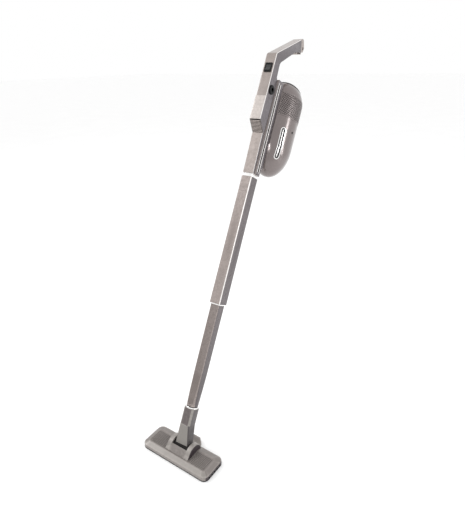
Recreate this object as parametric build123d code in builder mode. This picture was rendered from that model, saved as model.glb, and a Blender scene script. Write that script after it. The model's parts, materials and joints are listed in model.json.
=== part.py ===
from build123d import *
import os
from math import sin, cos, radians, pi, hypot

os.makedirs("parts", exist_ok=True)

# ---------------------------------------------------------------- dimensions
# The floor is z = 0, the origin is the middle of the floor head's sole, +Y is
# the rear, +X the right-hand side.  The stick leans back by LEAN degrees.
LEAN = 27.44
PY, PZ = 3.92, 31.2            # foot of the stick's centre line in the head
SL, CL = sin(radians(LEAN)), cos(radians(LEAN))

HEAD_W, HEAD_D, HEAD_R = 216.0, 78.0, 15.0   # floor head, plan
RIM_Z = 12.6                   # top of the upright skirt
TOP_Z = 19.6                   # flat top of the floor head
PIV_Y, PIV_Z = 8.0, 20.0       # tilt axis of the neck in the head
DRUM_R, DRUM_W = 17.6, 24.6    # drum radius and half length
CHEEK_IN, CHEEK_OUT = 25.2, 38.0

ADAPT = 31.5                   # adaptor, across flats
WAND_Y = 0.7                   # wand centre, rearward of the stick line
UP_BOT, UP_TOP, SLEEVE_TOP = 386.0, 688.0, 728.0
LOW_BOT, LOW_TOP = 108.0, 430.0
BORE_X, BORE_Y = 28.5, 28.9    # bore of the upper wand
LOW_X, LOW_Y = 27.7, 28.1      # upper end of the lower wand

HW = 15.6                      # half width of the stick body and the grip
WALL = 2.2
BODY_BOT = 737.4
COVER_BOT, COVER_TOP = 868.0, 930.6
POD_RX, POD_RY, POD_Y = 49.4, 59.8, 79.9   # oval pod: half axes, axis behind the stick line
POD_S0, POD_S1 = 836.3, 953.8  # straight part of the pod
POD_LOW, POD_HIGH = 84.7, 61.6 # heights of its two domes
POD_SEAM = 909.4
CUT_UP, CUT_LOW = 24.25, 24.6  # flat against the saddle: motor housing, dust cup
MOTOR_PLATE = 930.0
PORT_S, PORT_L = 835.0, 36.0   # suction port from the body into the cup
BAND_S, BAND_K = 1011.0, 0.15  # black band: top edge at the saddle, fall towards the rear
SADDLE_X, SADDLE_IN = 19.8, 15.65
SW_S = 1003.5                  # middle of the rocker switch, up the stick
INLET_Y, INLET_S, INLET_R = -27.0, 951.6, 11.6
WIN_A, WIN_S, WIN_L, WIN_W = -36.5, 838.4, 82.5, 12.6  # cup window
WIN_TURN = 90.8                # direction of the window's long side
BTN_A, BTN_S, BTN_R = -2.6, 878.9, 3.0                   # cup release button


def at(yp, s):
    """World (y, z) of a point given rearward and up along the stick."""
    return (PY + yp * CL + s * SL, PZ - yp * SL + s * CL)


UPV = (0, SL, CL)              # up the stick
BACKV = (0, CL, -SL)           # rearward, square to the stick
S = Plane(origin=(0, PY, PZ), x_dir=(1, 0, 0), z_dir=UPV)
SIDE = Plane(origin=(0, PY, PZ), x_dir=BACKV, z_dir=(1, 0, 0))


def sec(h):
    """Cross-section plane of the stick at height h."""
    return S.offset(h)


def side(x):
    """Side plane (rearward, up the stick) at the given X."""
    return Plane(origin=(x, PY, PZ), x_dir=BACKV, z_dir=(1, 0, 0))


def front(yp):
    """Plane facing forward at the rearward station yp: (X, up the stick)."""
    y, z = at(yp, 0)
    return Plane(origin=(0, y, z), x_dir=(1, 0, 0), z_dir=(0, -CL, SL))


def yz(x):
    """Upright side plane of the floor head at the given X: (Y, Z)."""
    return Plane(origin=(x, 0, 0), x_dir=(0, 1, 0), z_dir=(1, 0, 0))


def pod_face(angle, s):
    """Plane on the straight part of the pod, facing out; angle of the oval."""
    c, k = cos(radians(angle)), sin(radians(angle))
    nx, ny = c / POD_RX, k / POD_RY
    n = hypot(nx, ny)
    nx, ny = nx / n, ny / n
    y, z = at(POD_Y + POD_RY * k, s)
    return Plane(origin=(POD_RX * c, y, z), x_dir=(-ny, CL * nx, -SL * nx),
                 z_dir=(nx, CL * ny, -SL * ny))


PIV_YP = (PIV_Y - PY) * CL - (PIV_Z - PZ) * SL
PIV_S = (PIV_Y - PY) * SL + (PIV_Z - PZ) * CL
pod_o = at(POD_Y, 0)
POD_AXIS = Axis((0, pod_o[0], pod_o[1]), UPV)


def keep(builder, label):
    builder.part.label = label
    export_step(builder.part, "parts/" + label + ".step")


# =================================================================== head
# ---- cover: bevelled top shell of the floor head
with BuildPart() as head_cover:
    with BuildSketch(Plane.XY.offset(3.6)):
        RectangleRounded(HEAD_W, HEAD_D, HEAD_R)
    extrude(amount=RIM_Z - 3.6)
    with BuildSketch(Plane.XY.offset(RIM_Z)):
        RectangleRounded(HEAD_W, HEAD_D, HEAD_R)
    with BuildSketch(Plane.XY.offset(TOP_Z)):
        with Locations((0, -2.5)):
            RectangleRounded(HEAD_W - 26, HEAD_D - 30, 7)
    loft()
    # hollow underside
    with BuildSketch(Plane.XY.offset(3.6)):
        RectangleRounded(HEAD_W - 4.6, HEAD_D - 4.6, HEAD_R - 2.3)
    extrude(amount=RIM_Z - 5.0, mode=Mode.SUBTRACT)
    with BuildSketch(Plane.XY.offset(RIM_Z - 1.4)):
        RectangleRounded(HEAD_W - 4.6, HEAD_D - 4.6, HEAD_R - 2.3)
    with BuildSketch(Plane.XY.offset(TOP_Z - 2.4)):
        with Locations((0, -2.5)):
            RectangleRounded(HEAD_W - 30, HEAD_D - 34, 6)
    loft(mode=Mode.SUBTRACT)
    # shallow textured panel in the top
    with BuildSketch(Plane.XY.offset(TOP_Z)):
        with Locations((0, -2.8)):
            RectangleRounded(HEAD_W - 33, HEAD_D - 37, 5)
    extrude(amount=-0.7, mode=Mode.SUBTRACT)
    # opening for the bonnet and the slot behind it
    with BuildSketch(Plane.XY.offset(-1)):
        with Locations((0, 5.5)):
            Rectangle(2 * CHEEK_OUT + 0.2, 56.6)
    extrude(amount=40, mode=Mode.SUBTRACT)
    # opening for the pedal in the rear wall
    with BuildSketch(Plane.XY.offset(3.0)):
        with Locations((0, HEAD_D / 2 - 2)):
            Rectangle(62, 12)
    extrude(amount=20, mode=Mode.SUBTRACT)
    # comb slots in both end walls
    for sx in (-1, 1):
        with BuildSketch(Plane.XY.offset(3.0)):
            with Locations(*[(sx * HEAD_W / 2, -22 + 11 * k) for k in range(5)]):
                Rectangle(12, 5)
        extrude(amount=5.0, mode=Mode.SUBTRACT)
    # screw bosses
    with BuildSketch(Plane.XY.offset(6.2)):
        with GridLocations(168, 46, 2, 2):
            Circle(3.4)
    extrude(amount=11.4)
    with BuildSketch(Plane.XY.offset(6.0)):
        with GridLocations(168, 46, 2, 2):
            Circle(1.3)
    extrude(amount=8.0, mode=Mode.SUBTRACT)
keep(head_cover, "head_cover")

# ---- bonnet: two half-moon cheeks and the ribbed front slope
ARC = 26.0
with BuildPart() as bonnet:
    for sx in (-1, 1):
        x0 = CHEEK_IN if sx > 0 else -CHEEK_OUT
        with BuildSketch(yz(x0)):
            with BuildLine():
                RadiusArc((-18.0, 17.6), (33.6, 17.6), 25.85)
                Line((33.6, 17.6), (33.6, 15.4))
                Line((33.6, 15.4), (-18.0, 15.4))
                Line((-18.0, 15.4), (-18.0, 17.6))
            make_face()
        extrude(amount=CHEEK_OUT - CHEEK_IN)
    # soften the outer rims
    rim = [e for e in bonnet.edges().filter_by(GeomType.CIRCLE)
           if abs(abs(e.center().X) - CHEEK_OUT) < 0.05]
    fillet(rim, 2.4)
    # front slope between the cheeks
    with BuildSketch(yz(-CHEEK_IN - 0.2)):
        with BuildLine():
            Polyline((-22.7, 17.3), (-22.7, 20.5), (-8.6, 34.6), (-7.4, 33.4),
                     (-20.4, 20.4), (-20.4, 17.3), close=True)
        make_face()
    extrude(amount=2 * CHEEK_IN + 0.4)
    # toes of the cheeks carry the slope's profile on to the flat top
    for x0 in (-CHEEK_OUT, CHEEK_IN):
        with BuildSketch(yz(x0)):
            with BuildLine():
                Polyline((-22.6, 17.3), (-22.6, 20.4), (-15.4, 27.6), (-12.8, 26.0),
                         (-12.8, 17.3), close=True)
            make_face()
        extrude(amount=CHEEK_OUT - CHEEK_IN)
    # thin short ribs on the slope
    for k in range(15):
        with BuildSketch(yz(-21.0 + 3.0 * k - 0.6)):
            with BuildLine():
                Polyline((-22.2, 20.7), (-11.6, 31.3), (-12.3, 32.0), (-22.9, 21.4), close=True)
            make_face()
        extrude(amount=1.2)
    # cheeks are hollow from below
    for sx in (-1, 1):
        x0 = CHEEK_IN + 2.4 if sx > 0 else -CHEEK_OUT + 2.4
        with BuildSketch(yz(x0)):
            with BuildLine():
                RadiusArc((-15.4, 17.6), (31.4, 17.6), 23.4)
                Line((31.4, 17.6), (31.4, 15.0))
                Line((31.4, 15.0), (-15.4, 15.0))
                Line((-15.4, 15.0), (-15.4, 17.6))
            make_face()
        extrude(amount=CHEEK_OUT - CHEEK_IN - 4.8, mode=Mode.SUBTRACT)
        # pin boss inside the cheek
        with BuildSketch(yz(CHEEK_IN + 2.4 if sx > 0 else -CHEEK_OUT + 2.4)):
            with Locations((PIV_Y, PIV_Z)):
                Circle(5.4)
        extrude(amount=CHEEK_OUT - CHEEK_IN - 4.8)
        # bore for the tilt pin
        with BuildSketch(yz(CHEEK_IN - 0.1 if sx > 0 else -CHEEK_IN + 0.1)):
            with Locations((PIV_Y, PIV_Z)):
                Circle(3.0)
        extrude(amount=sx * 9.0, mode=Mode.SUBTRACT)
keep(bonnet, "bonnet")

# ---- sole plate
MOUTH_Y, MOUTH_L, MOUTH_W = -15.5, 128.0, 15.0
with BuildPart() as sole_plate:
    with BuildSketch(Plane.XY.offset(1.2)):
        RectangleRounded(HEAD_W - 5.4, HEAD_D - 5.4, HEAD_R - 2.7)
    extrude(amount=2.0)
    # central skid and two end skids that glide on the floor
    with BuildSketch(Plane.XY):
        RectangleRounded(70, 9, 3)
        with GridLocations(180, 1, 2, 1):
            RectangleRounded(14, 24, 3)
    extrude(amount=2.0)
    # lip around the mouth
    with BuildSketch(Plane.XY.offset(3.2)):
        with Locations((0, MOUTH_Y)):
            RectangleRounded(MOUTH_L + 4, MOUTH_W + 3.2, 5)
    extrude(amount=2.4)
    with BuildSketch(Plane.XY.offset(-1)):
        with Locations((0, MOUTH_Y)):
            RectangleRounded(MOUTH_L, MOUTH_W, 4)
    extrude(amount=10, mode=Mode.SUBTRACT)
    # slots for the bristle strips
    with BuildSketch(Plane.XY.offset(-1)):
        with Locations((0, -31.0)):
            Rectangle(188.6, 5.4)
        with Locations((0, 14.5)):
            Rectangle(188.6, 5.4)
    extrude(amount=10, mode=Mode.SUBTRACT)
    # roller pockets
    with BuildSketch(Plane.XY.offset(-1)):
        with GridLocations(124, 1, 2, 1):
            with Locations((0, 30.5)):
                Rectangle(14.0, 12.0)
    extrude(amount=10, mode=Mode.SUBTRACT)
    # screw holes, countersunk from the floor side
    with BuildSketch(Plane.XY.offset(-1)):
        with GridLocations(168, 46, 2, 2):
            Circle(1.35)
    extrude(amount=10, mode=Mode.SUBTRACT)
    # saddle blocks that hold the roller axles
    for sx in (-1, 1):
        for dx in (-9.2, 9.2):
            with BuildSketch(yz(sx * 62 + dx - 1.5)):
                with BuildLine():
                    Polyline((25.6, 3.0), (35.4, 3.0), (33.4, 8.4), (27.6, 8.4), close=True)
                make_face()
            extrude(amount=3.0)
        with BuildSketch(yz(sx * 62 - 12)):
            with Locations((30.5, 5.0)):
                Circle(1.2)
        extrude(amount=24, mode=Mode.SUBTRACT)
    # lugs that carry the pedal pin, just outside the pedal
    for sx in (-1, 1):
        with BuildSketch(yz(sx * 32.6 - 1.5)):
            with BuildLine():
                Polyline((28.0, 3.0), (35.6, 3.0), (35.6, 9.8), (34.2, 11.0), (31.8, 11.0), (30.2, 9.8), close=True)
            make_face()
        extrude(amount=3.0)
    with BuildSketch(yz(-40)):
        with Locations((33.0, 8.6)):
            Circle(1.5)
    extrude(amount=80, mode=Mode.SUBTRACT)
keep(sole_plate, "sole_plate")

# ---- soft bumper line around the skirt
with BuildPart() as bumper_strip:
    with BuildSketch(Plane.XY.offset(1.4)):
        RectangleRounded(HEAD_W + 0.8, HEAD_D + 0.8, HEAD_R + 0.4)
        RectangleRounded(HEAD_W - 5.2, HEAD_D - 5.2, HEAD_R - 2.6, mode=Mode.SUBTRACT)
        with Locations((0, HEAD_D / 2)):
            Rectangle(64, 8, mode=Mode.SUBTRACT)
    extrude(amount=2.1)
keep(bumper_strip, "bumper_strip")

# ---- felt lint strips beside the mouth
with BuildPart() as lint_strips:
    with BuildSketch(Plane.XY.offset(0.1)):
        with Locations((0, -25.4)):
            RectangleRounded(150, 3.6, 1.5)
        with Locations((0, 8.6)):
            RectangleRounded(150, 3.6, 1.5)
    extrude(amount=1.1)
keep(lint_strips, "lint_strips")

# ---- screws that hold the sole to the cover
with BuildPart() as head_screws:
    with BuildSketch(Plane.XY.offset(0.3)):
        with GridLocations(168, 46, 2, 2):
            Circle(2.5)
    extrude(amount=0.9)
    with BuildSketch(Plane.XY.offset(0.3)):
        with GridLocations(168, 46, 2, 2):
            Circle(1.28)
    extrude(amount=11.0)
    with BuildSketch(Plane.XY.offset(0.3)):
        with GridLocations(168, 46, 2, 2):
            Rectangle(2.6, 0.6)
            Rectangle(0.6, 2.6)
    extrude(amount=0.5, mode=Mode.SUBTRACT)
keep(head_screws, "head_screws")

# ---- bristle carrier (slides up and down) with its two bristle strips
with BuildPart() as brush_carrier:
    with BuildSketch(Plane.XY.offset(4.6)):
        with Locations((0, -31.0)):
            Rectangle(187.6, 4.4)
        with Locations((0, 14.5)):
            Rectangle(187.6, 4.4)
    extrude(amount=2.6)
    # end bars that tie the two strips together
    with BuildSketch(Plane.XY.offset(4.6)):
        for sx in (-1, 1):
            with Locations((sx * 98.2, -8.25)):
                Rectangle(4.0, 49.9)
            with Locations((sx * 95.0, -31.0), (sx * 95.0, 14.5)):
                Rectangle(4.0, 4.4)
    extrude(amount=2.6)
    # arm that reaches the pedal
    with BuildSketch(Plane.XY.offset(4.6)):
        with Locations((0, 17.9)):
            Rectangle(20, 3.0)
    extrude(amount=2.6)
keep(brush_carrier, "brush_carrier")

with BuildPart() as bristle_strips:
    with BuildSketch(Plane.XY.offset(0.1)):
        with Locations((0, -31.0)):
            Rectangle(185.0, 2.6)
        with Locations((0, 14.5)):
            Rectangle(185.0, 2.6)
    extrude(amount=4.5)
keep(bristle_strips, "bristle_strips")

# ---- foot pedal behind the neck, and its pin
with BuildPart() as foot_pedal:
    with BuildSketch(yz(-30)):
        with BuildLine():
            Polyline((30.2, 7.4), (32.0, 6.2), (36.0, 5.6), (61.0, 10.4), (62.6, 12.4), (61.4, 14.0),
                     (38.0, 12.2), (33.0, 11.3), (30.6, 9.9), close=True)
        make_face()
    extrude(amount=60)
    # lever that reaches under the bristle carrier
    with BuildSketch(yz(-8)):
        with BuildLine():
            Polyline((16.6, 3.5), (30.5, 3.5), (34.0, 6.4), (31.5, 8.0), (29.0, 4.5), (16.6, 4.5), close=True)
        make_face()
    extrude(amount=16)
    # plan shape: wide at the hinge, narrow at the tip
    for sx in (-1, 1):
        with BuildSketch(Plane.XY):
            with BuildLine():
                Polyline((sx * 31, 43.0), (sx * 30.0, 43.0), (sx * 27.5, 48.0), (sx * 14.0, 61.0),
                         (sx * 10.0, 63.2), (sx * 10.0, 70), (sx * 31, 70), close=True)
            make_face()
        extrude(amount=30, mode=Mode.SUBTRACT)
    # grip grooves
    with BuildSketch(yz(-16)):
        with Locations((47.0, 13.3), (51.0, 13.5), (55.0, 13.75)):
            Rectangle(1.2, 1.2)
    extrude(amount=32, mode=Mode.SUBTRACT)
    # bore for the pin
    with BuildSketch(yz(-31)):
        with Locations((33.0, 8.6)):
            Circle(1.55)
    extrude(amount=62, mode=Mode.SUBTRACT)
keep(foot_pedal, "foot_pedal")

with BuildPart() as pedal_pin:
    with BuildSketch(yz(-34.0)):
        with Locations((33.0, 8.6)):
            Circle(1.48)
    extrude(amount=68)
keep(pedal_pin, "pedal_pin")

# ---- rear rollers and their axles
for tag, sx in (("left", -1), ("right", 1)):
    with BuildPart() as roller:
        with BuildSketch(yz(sx * 62 - 6.0)):
            with Locations((30.5, 5.0)):
                Circle(4.9)
                Circle(1.24, mode=Mode.SUBTRACT)
        extrude(amount=12.0)
        fillet([e for e in roller.edges().filter_by(GeomType.CIRCLE) if abs(e.radius - 4.9) < 0.01], 0.8)
    keep(roller, "roller_" + tag)
with BuildPart() as roller_axles:
    for sx in (-1, 1):
        with BuildSketch(yz(sx * 62 - 10.6)):
            with Locations((30.5, 5.0)):
                Circle(1.18)
        extrude(amount=21.2)
keep(roller_axles, "roller_axles")

# ---- tilt pins between the cheeks and the neck drum
with BuildPart() as tilt_pins:
    for sx in (-1, 1):
        with BuildSketch(yz(sx * 21.6)):
            with Locations((PIV_Y, PIV_Z)):
                Circle(2.98)
        extrude(amount=sx * 12.4)
keep(tilt_pins, "tilt_pins")

# =================================================================== neck
with BuildPart() as neck:
    # drum between the cheeks
    with BuildSketch(side(-DRUM_W)):
        with Locations((PIV_YP, PIV_S)):
            Circle(DRUM_R)
    extrude(amount=2 * DRUM_W)
    # the drum is only a sector: its underside is open to the head
    with BuildSketch(side(-DRUM_W - 1)):
        with BuildLine():
            Polyline((PIV_YP, PIV_S), (PIV_YP - 24, PIV_S - 16), (PIV_YP - 24, PIV_S - 30),
                     (PIV_YP + 30, PIV_S - 30), (PIV_YP + 30, PIV_S + 20.5), close=True)
        make_face()
    extrude(amount=2 * DRUM_W + 2, mode=Mode.SUBTRACT)
    # wedge that flares towards the head
    with BuildSketch(sec(58.2)):
        Rectangle(30.0, 31.0)
        chamfer(vertices(), 3.2)
    with BuildSketch(sec(4.0)):
        with Locations((0, 6.6)):
            Rectangle(39.4, 25.0)
        chamfer(vertices(), 1.6)
    loft()
    # rear heel of the wedge runs down into the drum
    with BuildSketch(sec(4.0)):
        with Locations((0, 6.6)):
            Rectangle(39.4, 25.0)
        chamfer(vertices(), 1.6)
    extrude(amount=-9.0)
    # inside of the drum and of the wedge
    with BuildSketch(side(-DRUM_W + 2.2)):
        with Locations((PIV_YP, PIV_S)):
            Circle(DRUM_R - 2.0)
    extrude(amount=2 * (DRUM_W - 2.2), mode=Mode.SUBTRACT)
    with BuildSketch(sec(58.3)):
        Circle(11.7)
    with BuildSketch(sec(3.0)):
        with Locations((0, 6.6)):
            RectangleRounded(34.0, 20.0, 6)
    loft(mode=Mode.SUBTRACT)
    with BuildSketch(sec(3.1)):
        with Locations((0, 6.6)):
            Rectangle(34.0, 20.0)
    extrude(amount=-12.0, mode=Mode.SUBTRACT)
    # end discs with the pin bores
    for sx in (-1, 1):
        with BuildSketch(side(sx * (DRUM_W - 2.2))):
            with Locations((PIV_YP, PIV_S)):
                Circle(8.6)
        extrude(amount=sx * 2.2)
        with BuildSketch(side(sx * (DRUM_W - 3.2))):
            with Locations((PIV_YP, PIV_S)):
                Circle(3.05)
        extrude(amount=sx * 4.0, mode=Mode.SUBTRACT)
keep(neck, "neck_wedge")

# ---- adaptor sleeve with flats
with BuildPart() as adaptor:
    with BuildSketch(sec(58.2)):
        Rectangle(ADAPT, ADAPT)
        chamfer(vertices(), 4.8)
    extrude(amount=44.2)
    chamfer(adaptor.faces().sort_by(Axis(S.origin, UPV))[-1].edges(), 0.8)
    with BuildSketch(sec(58.0)):
        Circle(11.7)
    extrude(amount=46, mode=Mode.SUBTRACT)
keep(adaptor, "adaptor_sleeve")

# ---- chrome ring, black seal and inner spigot of the swivel
with BuildPart() as chrome_ring:
    with BuildSketch(sec(102.4)):
        Circle(16.3)
        Circle(11.75, mode=Mode.SUBTRACT)
    extrude(amount=3.6)
    fillet([e for e in chrome_ring.edges().filter_by(GeomType.CIRCLE) if e.radius > 16], 1.0)
keep(chrome_ring, "chrome_ring")
with BuildPart() as swivel_seal:
    with BuildSketch(sec(106.0)):
        Circle(14.9)
        Circle(11.75, mode=Mode.SUBTRACT)
    extrude(amount=1.7)
keep(swivel_seal, "swivel_seal")
with BuildPart() as spigot:
    with BuildSketch(sec(62.0)):
        Circle(11.64)
        Circle(10.4, mode=Mode.SUBTRACT)
    extrude(amount=70.0)
keep(spigot, "swivel_spigot")

# =================================================================== wands
# ---- lower wand: square tube that turns round at its foot
with BuildPart() as lower_wand:
    with BuildSketch(sec(LOW_BOT)):
        with Locations((0, 0.0)):
            Circle(15.5)
    with BuildSketch(sec(150.0)):
        with Locations((0, 0.4)):
            RectangleRounded(27.4, 27.8, 6.0)
    loft()
    with BuildSketch(sec(150.0)):
        with Locations((0, 0.4)):
            RectangleRounded(27.4, 27.8, 6.0)
    with BuildSketch(sec(200.0)):
        with Locations((0, WAND_Y)):
            RectangleRounded(27.2, 27.6, 3.6)
    loft()
    with BuildSketch(sec(200.0)):
        with Locations((0, WAND_Y)):
            RectangleRounded(27.2, 27.6, 3.6)
    with BuildSketch(sec(LOW_TOP)):
        with Locations((0, WAND_Y)):
            RectangleRounded(LOW_X, LOW_Y, 3.6)
    loft()
    # long flat on the front that ends in a round tongue near the foot
    with BuildSketch(front(-13.1)):
        with Locations((0, 152.6)):
            RectangleRounded(19.6, 80.0, 9.0)
    extrude(amount=8.0, mode=Mode.SUBTRACT)
    with BuildSketch(sec(LOW_BOT - 1)):
        Circle(11.72)
    extrude(amount=26.0, mode=Mode.SUBTRACT)
    with BuildSketch(sec(132.8)):
        with Locations((0, WAND_Y)):
            RectangleRounded(22.6, 23.0, 3.0)
    extrude(amount=LOW_TOP - 132.0, mode=Mode.SUBTRACT)
keep(lower_wand, "lower_wand")

# ---- upper wand: wider square tube, slightly flared to its lower end
with BuildPart() as upper_wand:
    with BuildSketch(sec(UP_BOT)):
        with Locations((0, WAND_Y)):
            RectangleRounded(34.0, 35.4, 4.0)
    with BuildSketch(sec(UP_TOP)):
        with Locations((0, WAND_Y)):
            RectangleRounded(32.2, 34.0, 4.0)
    loft()
    with BuildSketch(sec(UP_BOT - 1)):
        with Locations((0, WAND_Y)):
            RectangleRounded(BORE_X, BORE_Y, 3.6)
    extrude(amount=UP_TOP - UP_BOT + 2, mode=Mode.SUBTRACT)
keep(upper_wand, "upper_wand")

with BuildPart() as seam_ring:
    with BuildSketch(sec(UP_BOT - 2.6)):
        with Locations((0, WAND_Y)):
            RectangleRounded(34.6, 36.0, 4.3)
            RectangleRounded(BORE_X, BORE_Y, 3.6, mode=Mode.SUBTRACT)
    extrude(amount=2.6)
    chamfer(seam_ring.faces().sort_by(Axis(S.origin, UPV))[0].outer_wire().edges(), 0.7)
keep(seam_ring, "seam_ring")

with BuildPart() as sleeve:
    with BuildSketch(sec(UP_TOP)):
        with Locations((0, WAND_Y)):
            RectangleRounded(32.2, 34.0, 4.0)
    extrude(amount=SLEEVE_TOP - UP_TOP)
    chamfer(sleeve.faces().sort_by(Axis(S.origin, UPV))[-1].edges(), 0.8)
    chamfer(sleeve.faces().sort_by(Axis(S.origin, UPV))[0].edges(), 0.4)
    with BuildSketch(sec(UP_TOP)):
        with Locations((0, WAND_Y)):
            RectangleRounded(28.4, 28.8, 3.6)
    extrude(amount=-14.0)
    with BuildSketch(sec(UP_TOP - 16)):
        with Locations((0, WAND_Y)):
            RectangleRounded(24.8, 22.8, 3.2)
    extrude(amount=60.0, mode=Mode.SUBTRACT)
keep(sleeve, "wand_sleeve")

# ---- guards, buttons and springs on the rear of both wands
for tag, base, s0 in (("upper", 17.97, 617.0), ("lower", 14.66, 238.6)):
    with BuildPart() as guard:
        with BuildSketch(side(-8.6)):
            with BuildLine():
                Polyline((base, s0 - 17.5), (base + 5.6, s0 - 11.5), (base + 6.2, s0 + 9.5),
                         (base + 4.6, s0 + 13.2), (base, s0 + 15.5), close=True)
            make_face()
        extrude(amount=17.2)
        chamfer([e for e in guard.edges().filter_by(Axis(S.origin, UPV), tolerance=25)
                 if abs(abs(e.center().X) - 8.6) < 0.1 and e.length > 15], 1.0)
        with BuildSketch(side(-6.6)):
            with BuildLine():
                Polyline((base - 1, s0 - 9.0), (base + 12, s0 - 9.0), (base + 12, s0 + 9.6),
                         (base - 1, s0 + 9.6), close=True)
            make_face()
        extrude(amount=13.2, mode=Mode.SUBTRACT)
    keep(guard, tag + "_guard")
    with BuildPart() as button:
        with BuildSketch(side(-6.2)):
            with BuildLine():
                Polyline((base + 2.8, s0 - 8.6), (base + 6.6, s0 - 8.6), (base + 9.0, s0 + 5.6),
                         (base + 8.0, s0 + 9.2), (base + 2.8, s0 + 9.2), close=True)
            make_face()
        extrude(amount=12.4)
        chamfer([e for e in button.edges().filter_by(Axis.X) if e.center().Y > 0], 0.5)
    keep(button, tag + "_button")
    with BuildPart() as spring:
        with BuildSketch(side(-4.0)):
            with BuildLine():
                Polyline((base + 0.1, s0 - 7.5), (base + 0.1, s0 - 3.5), (base + 1.0, s0 - 3.5),
                         (base + 1.2, s0 + 6.0), (base + 0.8, s0 + 6.3), (base + 0.6, s0 - 2.9),
                         (base + 0.1, s0 - 2.9), (base + 0.1, s0 + 8.0), (base + 0.0, s0 + 8.0),
                         (base + 0.0, s0 - 7.5), close=True)
            make_face()
        extrude(amount=8.0)
    keep(spring, tag + "_spring")

# =================================================================== body
# ---- connector tube below the body
TUBE_X, TUBE_Y = 24.0, 22.0
with BuildPart() as connector_tube:
    with BuildSketch(sec(690.0)):
        with Locations((0, WAND_Y)):
            RectangleRounded(TUBE_X, TUBE_Y, 3.0)
            RectangleRounded(TUBE_X - 3.0, TUBE_Y - 3.0, 1.6, mode=Mode.SUBTRACT)
    extrude(amount=78.0)
    # flange that locks the tube into the body halves
    with BuildSketch(sec(744.0)):
        with Locations((0, WAND_Y)):
            RectangleRounded(TUBE_X + 2.4, TUBE_Y + 1.8, 3.6)
            RectangleRounded(TUBE_X - 3.0, TUBE_Y - 3.0, 1.6, mode=Mode.SUBTRACT)
    extrude(amount=4.0)
keep(connector_tube, "connector_tube")

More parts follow.
